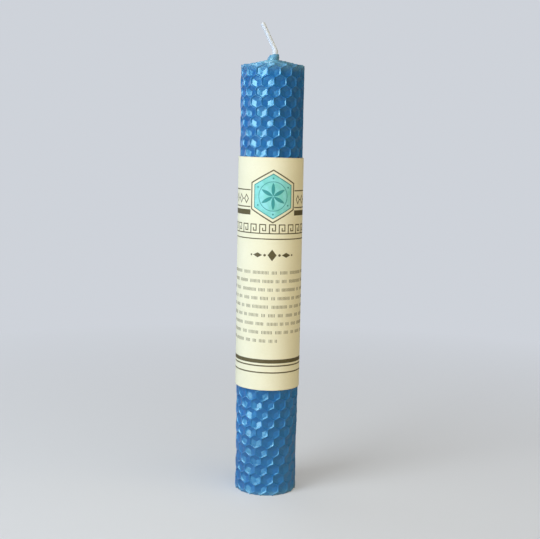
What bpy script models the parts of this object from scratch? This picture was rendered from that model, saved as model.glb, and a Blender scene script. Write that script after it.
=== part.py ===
"""A rolled honeycomb candle: an embossed wax sheet wound round a wick, with a paper label slipped over it.

The frame's origin is the centre of the base. +Z is up along the candle, and the label's print faces -Y.
The sheet is drawn flat, with a place along it (u), across it (z) and through it (w), and then rolled up.
"""

import math

import bmesh
import bpy
from mathutils import Matrix, Vector
from mathutils.geometry import convex_hull_2d

# Driving dimensions, in metres

# The wax sheet, as it is bought flat
SHEET_HEIGHT = 0.2032
SHEET_LENGTH = 0.4128
SHEET_THICKNESS = 0.00134
WEB_THICKNESS = 0.00065
CRUSHED_THICKNESS = 0.0009
CELL_WIDTH = 0.0056
ROW_PITCH = 0.00456
CELL_DEPTH = 0.00085
TOP_ROW_DROP = 0.0037

# How it is rolled
TURN_GAP = 0.0003
SEAM_ANGLE = math.radians(139)
CONE_RISE = 0.0024
COLLAR_RISE = 0.0027
COLLAR_TURNS = 0.8
COLLAR_RAMP_TURNS = 0.2
CRUSHED_TURNS = 1.0
FLAT_END_TURNS = 1.0
COLUMN_STEP_MAX = math.radians(18)
LEAST_FLUTE = 0.0009
SEAM_UNDERLAP = 0.008
OUTLINE_STEPS = 180
WELD_DISTANCE = 0.00001

# The wick
WICK_DIAMETER = 0.0022
WICK_CLEARANCE = 0.0003
WICK_SIDESTEP = 0.0004
WICK_NECK = 0.0018
WICK_NECK_BLEND = 0.001
WICK_FREE_LENGTH = 0.0127
WICK_LEAN = math.radians(26.5)
WICK_BEND_POINTS = 6

# The paper label
LABEL_HEIGHT = 0.109
LABEL_BASE_HEIGHT = 0.0516
LABEL_CLEARANCE = 0.0003
PAPER_THICKNESS = 0.0002
LABEL_SEAM_ANGLE = math.radians(48)
LABEL_OVERLAP = 0.009
LABEL_RAMP = 0.003
GLUE_GAP = 0.00006
LABEL_STEP = math.radians(5)
LABEL_SKEW = math.radians(0.55)

# Values that follow from them
TURN_PITCH = SHEET_THICKNESS + TURN_GAP
CORE_RADIUS = WICK_DIAMETER / 2 + WICK_CLEARANCE
MID_RADIUS = CORE_RADIUS + SHEET_THICKNESS / 2
FULL_TURN = 2 * math.pi
FRONT = math.radians(270)
GROWTH = TURN_PITCH / (2 * FULL_TURN)
CORE_LIFT = CONE_RISE + COLLAR_RISE
HALF_CELL = CELL_WIDTH / 2
HEX_CORNER = ROW_PITCH / 1.5
LATTICE_LEAD_ROWS = math.ceil(TOP_ROW_DROP / HEX_CORNER)


def clamp(value, low, high):
    return max(low, min(high, value))


def wound_angle(along):
    """The angle, counted from the wick, at which this length of sheet has been wound."""
    return (math.sqrt(MID_RADIUS**2 + 4 * GROWTH * along) - MID_RADIUS) / (2 * GROWTH)


def length_wound(angle):
    """The length of sheet that this angle winds up: wound_angle the other way round."""
    return MID_RADIUS * angle + GROWTH * angle**2


END_ANGLE = wound_angle(SHEET_LENGTH)
TOTAL_TURNS = END_ANGLE / FULL_TURN


def back_radius(angle):
    return CORE_RADIUS + TURN_PITCH * angle / FULL_TURN


def lift(angle):
    """How far the sheet has crept up at this turn: a low cone at the top, and a collar round the wick."""
    turns = angle / FULL_TURN
    sloping_turns = TOTAL_TURNS - FLAT_END_TURNS - COLLAR_TURNS
    cone = clamp((TOTAL_TURNS - FLAT_END_TURNS - turns) / sloping_turns, 0, 1)
    collar = clamp((COLLAR_TURNS + COLLAR_RAMP_TURNS - turns) / COLLAR_RAMP_TURNS, 0, 1)
    return CONE_RISE * cone + COLLAR_RISE * collar


def around_wick(angle, radius):
    """A point of the roll in plan, seen from the wick. It winds out clockwise and ends at the seam."""
    bearing = SEAM_ANGLE + END_ANGLE - angle
    return Vector((math.cos(bearing), math.sin(bearing))) * radius


def roll_outline():
    """The tightest loop of paper round the roll in plan, counter-clockwise, seen from the wick."""
    angles = [END_ANGLE - FULL_TURN * i / OUTLINE_STEPS for i in range(OUTLINE_STEPS + 1)]
    points = [around_wick(angle, back_radius(angle) + SHEET_THICKNESS) for angle in angles]
    return [points[i] for i in convex_hull_2d(points)]


def wick_axis():
    """Where the wick stands, with the roll's outline centred on the origin."""
    outline = roll_outline()
    middle = [(min(places) + max(places)) / 2 for places in zip(*outline)]
    return -Vector(middle)


WICK = wick_axis()


def rolled(u, z, w):
    """Where a point of the flat sheet goes when the sheet is rolled up."""
    angle = wound_angle(u)
    x, y = WICK + around_wick(angle, back_radius(angle) + w)
    return x, y, z + lift(angle)


def pressed_in(u, z):
    """How deep the outer face is pressed in here: most at a cell's centre, and not at all on its walls."""
    depth = 0
    for row in range(2):
        du = (SHEET_LENGTH - u + HALF_CELL * (1 - row)) % CELL_WIDTH - HALF_CELL
        dz = (SHEET_HEIGHT - TOP_ROW_DROP - z + ROW_PITCH * (1 - row)) % (2 * ROW_PITCH) - ROW_PITCH
        reach = max(abs(du) / HALF_CELL, abs(du) / CELL_WIDTH + abs(dz) / HEX_CORNER)
        depth = max(depth, CELL_DEPTH * (1 - reach))
    return depth


def add_material(obj, name, colour, roughness, metallic=0.0):
    material = bpy.data.materials.new(name)
    material.use_nodes = True
    shader = material.node_tree.nodes["Principled BSDF"]
    shader.inputs["Base Color"].default_value = (*colour, 1)
    shader.inputs["Roughness"].default_value = roughness
    shader.inputs["Metallic"].default_value = metallic
    obj.data.materials.append(material)


def add_object(name, data, collection):
    obj = bpy.data.objects.new(name, data)
    collection.objects.link(obj)
    return obj


def inner_columns(end):
    """The fold lines of the inner turns, from the wick out: how far along, and the front and back."""
    columns = []
    u = 0.0
    while u < end - LEAST_FLUTE:
        angle = wound_angle(u)
        if angle < CRUSHED_TURNS * FULL_TURN:
            columns.append((u, CRUSHED_THICKNESS, 0.0))
        elif len(columns) % 2:
            columns.append((u, SHEET_THICKNESS, SHEET_THICKNESS - WEB_THICKNESS))
        else:
            columns.append((u, WEB_THICKNESS, 0.0))
        u = length_wound(min(angle + COLUMN_STEP_MAX, wound_angle(u + HALF_CELL)))
    return columns


def outer_columns():
    """The fold lines of the outermost turn, which run through the corners and centres of its cells."""
    turn_length = SHEET_LENGTH - length_wound(END_ANGLE - FULL_TURN) + SEAM_UNDERLAP
    count = math.ceil(turn_length / HALF_CELL)
    return [(SHEET_LENGTH - HALF_CELL * i, SHEET_THICKNESS, 0.0) for i in range(count, -1, -1)]


def lattice_height(row, staggered):
    """The height of a corner or centre of the cells, with rows counted from above the top edge."""
    height = SHEET_HEIGHT - TOP_ROW_DROP + HEX_CORNER * (LATTICE_LEAD_ROWS - row + staggered / 2)
    return clamp(height, 0, SHEET_HEIGHT)


def build_wax_sheet(collection):
    outer = outer_columns()
    columns = inner_columns(outer[0][0]) + outer
    last_inner = len(columns) - len(outer) - 1
    last = len(columns) - 1
    rows = math.ceil((SHEET_HEIGHT - TOP_ROW_DROP) / HEX_CORNER + 0.5) + LATTICE_LEAD_ROWS

    # Drawn flat, with its fold lines half a cell apart: X counts them, Y is height, Z goes through it
    bm = bmesh.new()
    to_counts = Matrix.Diagonal((last, rows, 1, 1)) @ Matrix.Translation((0.5, 0.5, 0))
    bmesh.ops.create_grid(bm, x_segments=last, y_segments=rows, size=0.5, matrix=to_counts)
    for vert in bm.verts:
        column = round(vert.co.x)
        u, front, _ = columns[column]
        z = lattice_height(rows - round(vert.co.y), (last - column) % 2)
        depth = pressed_in(u, z) if column > last_inner else 0
        vert.co = (column * HALF_CELL, z, front - depth)
    bmesh.ops.remove_doubles(bm, verts=bm.verts, dist=WELD_DISTANCE)

    # The back lies opposite the front, and isn't pressed in
    extruded = bmesh.ops.extrude_face_region(bm, geom=bm.faces[:])["geom"]
    back = {item for item in extruded if isinstance(item, bmesh.types.BMVert)}
    for vert in back:
        vert.co.z = columns[round(vert.co.x / HALF_CELL)][2]

    def needless(edge):
        """An edge across a face that is plain from the sheet's foot to its top."""
        a, b = edge.verts
        here, after = sorted(round(v.co.x / HALF_CELL) for v in edge.verts)
        if max(a.co.y, b.co.y) < WELD_DISTANCE or min(a.co.y, b.co.y) > SHEET_HEIGHT - WELD_DISTANCE:
            return False
        if (a in back) != (b in back):
            return True
        return after > here and (a in back or after <= last_inner)

    bmesh.ops.dissolve_edges(bm, edges=[e for e in bm.edges if needless(e)], use_verts=True)
    bmesh.ops.triangulate(bm, faces=bm.faces[:], quad_method="SHORT_EDGE")
    for vert in bm.verts:
        vert.co = rolled(columns[round(vert.co.x / HALF_CELL)][0], vert.co.y, vert.co.z)
    bmesh.ops.recalc_face_normals(bm, faces=bm.faces)

    mesh = bpy.data.meshes.new("wax_sheet")
    bm.to_mesh(mesh)
    bm.free()
    obj = add_object("wax_sheet", mesh, collection)
    add_material(obj, "blue_wax", (0.022, 0.16, 0.42), 0.32)


def wick_path():
    """The wick's centreline: up through the roll, a small step to the right and then a lean to the left."""
    exit_height = SHEET_HEIGHT + CORE_LIFT
    bend_start = exit_height + WICK_NECK - WICK_NECK_BLEND
    points = [(0, CORE_LIFT), (0, exit_height - WICK_SIDESTEP), (WICK_SIDESTEP, bend_start)]
    # An arc of two neck blends in length, from upright to the full lean
    bend_radius = 2 * WICK_NECK_BLEND / WICK_LEAN
    for i in range(1, WICK_BEND_POINTS + 1):
        turned = WICK_LEAN * i / WICK_BEND_POINTS
        x = WICK_SIDESTEP - bend_radius * (1 - math.cos(turned))
        points.append((x, bend_start + bend_radius * math.sin(turned)))
    x, z = points[-1]
    points.append((x - WICK_FREE_LENGTH * math.sin(WICK_LEAN), z + WICK_FREE_LENGTH * math.cos(WICK_LEAN)))
    return [(WICK.x + x, WICK.y, z) for x, z in points]


def build_wick(collection):
    curve = bpy.data.curves.new("wick", "CURVE")
    curve.dimensions = "3D"
    curve.bevel_depth = WICK_DIAMETER / 2
    curve.bevel_resolution = 3
    curve.use_fill_caps = True
    points = wick_path()
    spline = curve.splines.new("POLY")
    spline.points.add(len(points) - 1)
    for point, place in zip(spline.points, points):
        point.co = (*place, 1)
    obj = add_object("wick", curve, collection)
    add_material(obj, "primed_cotton", (0.86, 0.87, 0.88), 0.75)


def outline_distance(outline, bearing):
    """How far the counter-clockwise loop lies from the origin in this direction."""
    ray = Vector((math.cos(bearing), math.sin(bearing)))
    for a, b in zip(outline, outline[1:] + outline[:1]):
        if a.cross(ray) >= 0 and ray.cross(b) >= 0:
            return a.cross(b) / ray.cross(b - a)
    raise ValueError("the loop doesn't go round the origin")


def label_path():
    """The inner face of the label's lower edge, from its glued end round to the free end over it."""
    outline = [WICK + point for point in roll_outline()]
    seam_radius = outline_distance(outline, LABEL_SEAM_ANGLE) + LABEL_CLEARANCE
    sweep = FULL_TURN + LABEL_OVERLAP / seam_radius
    ramp = LABEL_RAMP / seam_radius
    steps = round(sweep / LABEL_STEP)
    points = []
    for i in range(steps + 1):
        swept = sweep * i / steps
        bearing = LABEL_SEAM_ANGLE + swept
        # The free end climbs just before it reaches the glued end
        climb = clamp((swept - FULL_TURN + ramp) / ramp, 0, 1) * (PAPER_THICKNESS + GLUE_GAP)
        radius = outline_distance(outline, bearing) + LABEL_CLEARANCE + climb
        # It was wrapped a little askew, so its edge sinks steadily from end to end
        rise = radius * (FRONT - bearing) * math.tan(LABEL_SKEW)
        points.append((radius * math.cos(bearing), radius * math.sin(bearing), LABEL_BASE_HEIGHT + rise))
    return points


def build_label(collection):
    bm = bmesh.new()
    edge = [bm.verts.new(point) for point in label_path()]
    for here, after in zip(edge, edge[1:]):
        bm.edges.new((here, after))
    paper_face = bmesh.ops.extrude_edge_only(bm, edges=bm.edges[:])["geom"]
    top = [item for item in paper_face if isinstance(item, bmesh.types.BMVert)]
    bmesh.ops.translate(bm, verts=top, vec=(0, 0, LABEL_HEIGHT))
    mesh = bpy.data.meshes.new("label")
    bm.to_mesh(mesh)
    bm.free()
    mesh.shade_smooth()
    obj = add_object("label", mesh, collection)
    paper = obj.modifiers.new("paper thickness", "SOLIDIFY")
    paper.thickness = PAPER_THICKNESS
    paper.offset = -1
    paper.use_even_offset = True
    add_material(obj, "cream_paper", (0.90, 0.87, 0.72), 0.8)


def main():
    for obj in list(bpy.data.objects):
        bpy.data.objects.remove(obj)
    collection = bpy.data.collections.new("rolled_candle")
    bpy.context.scene.collection.children.link(collection)
    build_wax_sheet(collection)
    build_wick(collection)
    build_label(collection)


main()
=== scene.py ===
"""The looks of the rolled honeycomb candle: embossed wax, a braided wick and a printed paper label.

The sheet is drawn flat, with a place along it (u), across it (z) and through it (w), and then rolled up
round the wick. The label is drawn flat too, with a place round it (s, from the middle of its front) and up
it (z).
"""

import math
import random

import bmesh
import bpy
from mathutils import Matrix, Vector, noise
from mathutils.geometry import convex_hull_2d, tessellate_polygon


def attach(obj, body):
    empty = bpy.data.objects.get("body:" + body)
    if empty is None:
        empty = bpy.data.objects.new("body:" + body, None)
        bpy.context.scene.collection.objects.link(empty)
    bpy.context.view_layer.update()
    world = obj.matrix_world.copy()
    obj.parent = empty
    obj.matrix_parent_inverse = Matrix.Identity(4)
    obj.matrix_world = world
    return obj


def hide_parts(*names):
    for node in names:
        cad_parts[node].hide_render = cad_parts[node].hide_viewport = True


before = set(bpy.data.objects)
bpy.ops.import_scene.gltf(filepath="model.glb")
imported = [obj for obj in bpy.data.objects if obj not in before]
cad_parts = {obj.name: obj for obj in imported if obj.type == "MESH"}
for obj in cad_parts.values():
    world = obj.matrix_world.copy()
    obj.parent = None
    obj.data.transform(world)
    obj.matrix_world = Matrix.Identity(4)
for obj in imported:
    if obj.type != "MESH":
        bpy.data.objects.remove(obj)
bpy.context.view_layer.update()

FULL_TURN = 2 * math.pi
FRONT = math.radians(270)
MM = 0.001

# The wax sheet and how it is rolled, in metres, as the construction has them
SHEET_HEIGHT = 0.2032
SHEET_LENGTH = 0.4128
SHEET_THICKNESS = 0.00134
TURN_PITCH = 0.00164
CORE_RADIUS = 0.0014
SEAM_ANGLE = math.radians(139)
CONE_RISE = 0.0024
COLLAR_RISE = 0.0027
COLLAR_TURNS = 0.8
COLLAR_RAMP_TURNS = 0.2
COLLAR_SQUEEZE = 0.36
COLLAR_GRIP = 0.00022
FLAT_END_TURNS = 1.0

# What the scene adds to the roll: a tucked edge, turns crushed at the wick and a torn collar
TUCK_LENGTH = 0.006
INNER_OVERLAP = 0.0015
UNCRUSHED_TURNS = 1.25
CRUSHED_TURNS = 0.95
CRUSHED_THICKNESS = 0.00086
CRUSHED_RELIEF_SHARE = 0.25
MEAN_THICKNESS = 0.0009
BACK_DEPTH_SHARE = 0.5
BACK_RELIEF_SHARE = 0.62
BACK_WEB_SHARE = 0.5
LEAST_WEB_SHARE = 0.6
COLLAR_PINCH_LEAD = 0.0003
COLLAR_TEAR = 0.0003
COLLAR_TEARS_PER_RADIAN = 1.3
COLLAR_LEFT_DROP = 0.0003
COLLAR_LEFT_START = 0.35
INNER_END_ROWS = 9
INNER_LONGEST_STEP = math.radians(9)
WAX_CREASE_ANGLE = math.radians(50)

# The cells pressed into it
CELL_WIDTH = 0.0056
ROW_PITCH = 0.00456
TOP_ROW_DROP = 0.0037
CELL_DEPTH = 0.00122
BASE_SLOPE = 0.3
WALL_FOOT = 0.85
WALL_CREST = 0.98
WEB_THICKNESS = 0.00042
RIM_DEPTH = 0.00025
RING_REACHES = (0.42, 0.77, WALL_FOOT, 0.915, WALL_CREST, 1.0)
SIDE_SEGMENTS = 2
CREASED_RINGS = 2

# How uneven the cells are, and how wide the lumps of that unevenness
MEAN_DEPTH_SHARE = 0.93
DEPTH_SHARE_SPREAD = 0.12
BASE_TILT = 0.06
CELL_LUMP_SIZE = 0.003
TILT_LAYERS = (11.6, 12.8)
CELL_WOBBLE = 0.0002
WOBBLE_SIZE = 0.008
CREST_WEAR = 0.0002
MEAN_WEAR = 0.25
FINE_WEAR = 0.6
FINE_WEAR_SIZE = 0.0045
BROAD_WEAR = 1.3
BROAD_WEAR_SIZE = 0.017
MOST_WEAR = 1.9
RIM_WAVE = 0.00016
RIM_WAVE_LENGTH = 0.0035
RIM_WAVE_REACH = 0.002

# What a hand has done near the foot: the heights where that starts and is full, and what it adds
HELD_END_TOP = 0.07
HELD_END_FULL = 0.02
HELD_END_WEAR = 1.2
HELD_END_TILT = 1.5
HELD_END_WOBBLE = 0.6

# The pale bloom, and how much paler the wax is towards the foot: how strong they are, and how far the bloom
# reaches in from an edge
FOOT_PALING = 0.09
EDGE_BLOOM = 0.75
EDGE_BLOOM_REACH = 0.0045
FOOT_BLOOM_NARROWING = 1.6
INNER_EDGE_BLOOM = 0.95
INNER_BLOOM_REACH = 0.004
COLLAR_BLOOM = 0.85

# How much of the crests' painted light the cut edge and the inner turns have
CUT_EDGE_CREST = 0.4
INNER_CREST_LOW = 0.35
INNER_CREST_RISE = 0.5

# How close points are to be joined, and how close to a plane they are to count as lying on it
WELD_DISTANCE = 0.00002
TOLERANCE = 1e-6
FINE_TOLERANCE = 1e-7

# The wick
WICK_SIDESTEP = 0.00058
WICK_NECK = 0.0018
WICK_NECK_BLEND = 0.001
WICK_FREE_LENGTH = 0.0127
WICK_LEAN = math.radians(26.5)
NECK_SWELL = 0.2
NECK_SWELL_RISE = 0.0006
NECK_SWELL_CORE = 0.0006
NECK_SWELL_REACH = 0.0026
BRAID_RADIUS = 0.00106
BRAID_GROOVE = 0.00003
BRAID_PITCH = 0.0074
BRAID_HIDDEN_LENGTH = 0.012
BRAID_SIDES = 36
BRAID_RING_STEP = 0.00018
BRAID_LUMP = 0.00003
BRAID_LUMPS_PER_METRE = 900
CUT_END_SHARE = 0.86
CUT_END_ROUNDING = 0.0005
WICK_CREASE_ANGLE = math.radians(60)
WICK_CORE_RADIUS = 0.0006
WICK_CORE_SWELL = 1.7
WICK_CORE_SWELL_BLEND = 0.004
WICK_CORE_END_GAP = 0.0004
WICK_CORE_STEPS = 40
FIBRE_COUNT = 30
FIBRE_RADIUS = 0.00004
FIBRE_STEPS = 4
FIBRE_PLACES = (0.0002, 0.0009)
FIBRE_ROOTS = (0.0002, 0.0006)
FIBRE_LENGTHS = (0.0003, 0.0007)
FIBRE_SPREADS = (0.9, 1.1)
FIBRE_STANDOUT = 0.0001
FIBRE_TWIST = 0.25
FIBRE_TAPER = 0.6

# The label
LABEL_HEIGHT = 0.109
LABEL_BASE_HEIGHT = 0.0516
LABEL_CLEARANCE = 0.0003
LABEL_SEAM_ANGLE = math.radians(48)
LABEL_OVERLAP = 0.009
LABEL_RAMP = 0.003
LABEL_SKEW = math.radians(0.55)
PAPER_THICKNESS = 0.0002
GLUE_GAP = 0.00006
PAPER_BULGE = 0.00005
INK_THICKNESS = 0.000014
LABEL_STEP = math.radians(2.5)
PRINT_OFFSET = 0.0013
PRINT_MARGIN = 0.0004
INK_SINK = 0.00001
PAPER_EDGE_ROWS = (0.0006, 0.0014)
PAPER_ROWS = 12
PAPER_CREASE_ANGLE = math.radians(40)

# The printing, in millimetres: heights above the label's lower edge, and places beside its middle
MEDALLION_HEIGHT = 91.2
MEDALLION_RADIUS = 12.4
MEDALLION_MARGIN = 0.35
MEDALLION_FIELD_INSET = 1.9
FRAME_SHARE = 0.055
FINE_LINE_SHARE = 0.045
ROSETTE_RADIUS = 6.9
PETAL_LENGTH = 6.3
ROSETTE_DOT_PLACE = 8.3
ROSETTE_DOT_RADIUS = 0.42
PETAL_GAP = 0.12
RULE_THICKNESS = 0.5
SIDE_BAND_HEIGHT = 89.0
SIDE_BAND_RULE_RISE = 4.9
LOZENGE_RISE = 0.75
LOZENGE_COUNT = 8
LOZENGE_START = 13.7
LOZENGE_PITCH = 3.9
LOZENGE_HALF_WIDTH = 1.55
LOZENGE_HALF_HEIGHT = 2.3
LOZENGE_BAND_SHARE = 0.34
LOZENGE_DOT_RADIUS = 0.36
THICK_BAND_HEIGHT = 83.6
THICK_BAND_THICKNESS = 2.4
THICK_BAND_RULE_RISE = 2.5
KEY_ROW_HEIGHT = 76.1
KEY_ROW_UNIT = 4.6
KEY_ROW_COUNT = 17
KEY_STROKE = 0.5
RULE_HEIGHT = 71.5
DIVIDER_HEIGHT = 64.0
DIVIDER_LOZENGE_HALVES = (2.1, 2.7)
DIVIDER_BAR_PLACE = 6.9
DIVIDER_BAR_HALVES = (2.3, 1.15)
DIVIDER_DOT_PLACES = (3.5, 10.1)
DIVIDER_DOT_RADII = (0.62, 0.45)
TEXT_TOP_HEIGHT = 55.8
TEXT_LINE_PITCH = 4.02
TEXT_LINES = 9
TEXT_HALF_WIDTH = 29.0
TEXT_LAST_LINE_END = 3.1
TICK_HEIGHT = 1.5
TICK_WIDTH = 0.26
TICK_PITCH = 0.66
TICK_GROUPS = (3, 4, 5, 6, 8, 10, 12)
TICK_GROUP_GAPS = (0.9, 1.5)
BOTTOM_BAND_HEIGHT = 13.9
BOTTOM_BAND_THICKNESS = 1.85
BOTTOM_RULE_THICKNESS = 0.62
BOTTOM_RULE_HEIGHTS = (11.75, 8.5)

# Colours
WAX_DEEP = (0.002, 0.082, 0.33, 1)
WAX_LIGHT = (0.004, 0.125, 0.45, 1)
# The crests' colour is painted light, as light shining through thin wax would show them
WAX_CREST_PAINTED_LIGHT = (0.012, 0.18, 0.46, 1)
WAX_BLOOM_AND_PALING = (0.135, 0.315, 0.50, 1)
WAX_GLINT = (0.32, 1.0, 1.0, 1)
PAPER_DARK = (0.785, 0.76, 0.56, 1)
PAPER_LIGHT = (0.835, 0.812, 0.625, 1)
PAPER_SOILED = (0.62, 0.56, 0.38, 1)
COTTON_DARK = (0.62, 0.675, 0.755, 1)
COTTON_LIGHT = (0.67, 0.725, 0.80, 1)
DARK_INKS = ((0.128, 0.108, 0.045), (0.085, 0.071, 0.03))
TEAL_INKS = ((0.29, 0.73, 0.78), (0.17, 0.60, 0.54))
DEEP_TEAL_INKS = ((0.045, 0.33, 0.34), (0.035, 0.27, 0.28))
BACKDROP_COLOUR = (0.62, 0.65, 0.70, 1)
AMBIENT_COLOUR = (0.80, 0.87, 1.0, 1)
FLOOR_LIT_COLOUR = (0.42, 0.43, 0.45, 1)
FLOOR_SEEN_COLOUR = (0.84, 0.85, 0.87, 1)
DAYLIGHT = (0.86, 0.935, 1.0)

# The grain of paper and cotton: how many grains there are to a metre along X, Y and Z
PAPER_GRAIN = (900, 900, 2600)
COTTON_GRAIN = (6000, 6000, 900)

# The camera, the lights and the floor
CAMERA_DISTANCE = 0.4814
CAMERA_HEIGHT = 0.1672
CAMERA_SIDE = 0.00044
CAMERA_PITCH = math.radians(7.11)
CAMERA_ROLL = math.radians(1.05)
FOCAL_LENGTH_PX = 1015.0
PHOTO_WIDTH_PX = 540.0
SENSOR_WIDTH_MM = 36.0
AMBIENT_STRENGTH = 0.13
LIGHTS_AIM = (0, 0, 0.12)
FLOOR_SIZE = 6.0
FLOOR_BLEND_START = 0.05
FLOOR_BLEND_END = 0.45
FLOOR_BLEND_LEAST = 0.3

# What follows from them
HALF_CELL = CELL_WIDTH / 2
HEX_CORNER = ROW_PITCH / 1.5
CELL_STRETCH = CELL_WIDTH / (math.sqrt(3) * HEX_CORNER)
MID_RADIUS = CORE_RADIUS + SHEET_THICKNESS / 2
GROWTH = TURN_PITCH / (2 * FULL_TURN)
BRAIDED_FROM = SHEET_HEIGHT - BRAID_HIDDEN_LENGTH


def clamp(value, low=0.0, high=1.0):
    return max(low, min(high, value))


def smoothstep(low, high, value):
    t = clamp((value - low) / (high - low))
    return t * t * (3 - 2 * t)


def mix(a, b, t):
    return a + (b - a) * t


def unit(bearing):
    """The direction of this bearing in plan."""
    return Vector((math.cos(bearing), math.sin(bearing)))


# How the sheet rolls up


def wound_angle(along):
    """The angle, counted from the wick, at which this length of sheet has been wound."""
    return (math.sqrt(MID_RADIUS**2 + 4 * GROWTH * along) - MID_RADIUS) / (2 * GROWTH)


def length_wound(angle):
    return MID_RADIUS * angle + GROWTH * angle**2


END_ANGLE = wound_angle(SHEET_LENGTH)
TOTAL_TURNS = END_ANGLE / FULL_TURN


def back_radius(angle):
    return CORE_RADIUS + TURN_PITCH * angle / FULL_TURN


def collar_share(angle):
    turns = angle / FULL_TURN
    return clamp((COLLAR_TURNS + COLLAR_RAMP_TURNS - turns) / COLLAR_RAMP_TURNS)


def cone_share(angle):
    sloping_turns = TOTAL_TURNS - FLAT_END_TURNS - COLLAR_TURNS
    return clamp((TOTAL_TURNS - FLAT_END_TURNS - angle / FULL_TURN) / sloping_turns)


def lift(angle):
    """How far the sheet has crept up at this turn, which leaves a low cone and a collar at the top."""
    return CONE_RISE * cone_share(angle) + COLLAR_RISE * collar_share(angle)


def around_wick(angle, radius):
    bearing = SEAM_ANGLE + END_ANGLE - angle
    return unit(bearing) * radius


def roll_outline():
    """The tightest loop of paper round the outermost turn in plan, counter-clockwise, from the wick."""
    steps = 180
    angles = [END_ANGLE - FULL_TURN * i / steps for i in range(steps + 1)]
    points = [around_wick(angle, back_radius(angle) + SHEET_THICKNESS) for angle in angles]
    return [points[i] for i in convex_hull_2d(points)]


WICK = -Vector([(min(places) + max(places)) / 2 for places in zip(*roll_outline())])


def rolled(u, z, w):
    """Where a point of the flat sheet goes.

    The collar is pinched in on the wick towards its top, and follows it.
    """
    angle = wound_angle(u)
    radius = back_radius(angle) + w
    pinch_start = SHEET_HEIGHT - COLLAR_RISE - COLLAR_PINCH_LEAD
    pinch = collar_share(angle) * smoothstep(pinch_start, SHEET_HEIGHT, z)
    radius -= pinch * (COLLAR_SQUEEZE * (radius - CORE_RADIUS) + COLLAR_GRIP)
    x, y = WICK + around_wick(angle, radius)
    return x + pinch * WICK_SIDESTEP, y, z + lift(angle)


# The relief of the cells

RHOMB_DIRECTIONS = [unit(math.radians(bearing)) for bearing in (90, 210, 330)]


def hex_reach(p):
    """0 at a cell's centre and 1 on its six walls."""
    return max(abs(p.x) / HALF_CELL, abs(p.x) / CELL_WIDTH + abs(p.y) / HEX_CORNER)


def relief(p, crest_wear=0.0, depth_share=1.0, tilt=Vector((0, 0))):
    """How deep the face lies below the sheet's crests at this offset from a cell's centre.

    The base of a cell is three rhombs that meet at its centre, and its six walls stand steeply round them.
    """
    regular = Vector((p.x / CELL_STRETCH, p.y))
    rise = BASE_SLOPE * max(regular.dot(direction) for direction in RHOMB_DIRECTIONS)
    base = depth_share * (CELL_DEPTH - rise) + tilt.dot(p)
    wall = smoothstep(WALL_CREST, WALL_FOOT, hex_reach(p)) if hex_reach(p) < WALL_CREST else 0.0
    return mix(crest_wear, max(base, crest_wear), wall)


def nearest_cell_offset(u, z):
    """The offset of a point of the sheet from the centre of the cell that it lies in."""
    best = None
    for row in range(2):
        du = (SHEET_LENGTH - u + HALF_CELL * (1 - row)) % CELL_WIDTH - HALF_CELL
        dz = (z - SHEET_HEIGHT + TOP_ROW_DROP + ROW_PITCH * (1 - row)) % (2 * ROW_PITCH) - ROW_PITCH
        offset = Vector((-du, dz))
        if best is None or hex_reach(offset) < hex_reach(best):
            best = offset
    return best


def held_share(z):
    """How much a hand has pressed the roll at this height: it is held near its foot."""
    return smoothstep(HELD_END_TOP, HELD_END_FULL, z)


def uneven(u, z, layer, size):
    """Smooth noise over the sheet, with lumps of about this size. Each use of it has a layer to itself."""
    return noise.noise(Vector((u, z, layer)) / size)


def wear_at(u, z):
    """How far the crests are rubbed down here: lightly all over, and more where a hand has pressed."""
    fine = FINE_WEAR * uneven(u, z, 0.3, FINE_WEAR_SIZE)
    broad = BROAD_WEAR * max(0.0, uneven(u, z, 7.1, BROAD_WEAR_SIZE))
    held = 1 + HELD_END_WEAR * held_share(z)
    return CREST_WEAR * clamp(held * (MEAN_WEAR + fine + broad), 0.0, MOST_WEAR)


def wobble(u, z):
    """The sheet's cells aren't quite regular once it has been warmed and rolled."""
    strength = CELL_WOBBLE * (1 + HELD_END_WOBBLE * held_share(z))
    du = strength * uneven(u, z, 2.0, WOBBLE_SIZE)
    dz = strength * uneven(u, z, 5.0, WOBBLE_SIZE)
    return u + du, z + dz


# Materials


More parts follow.
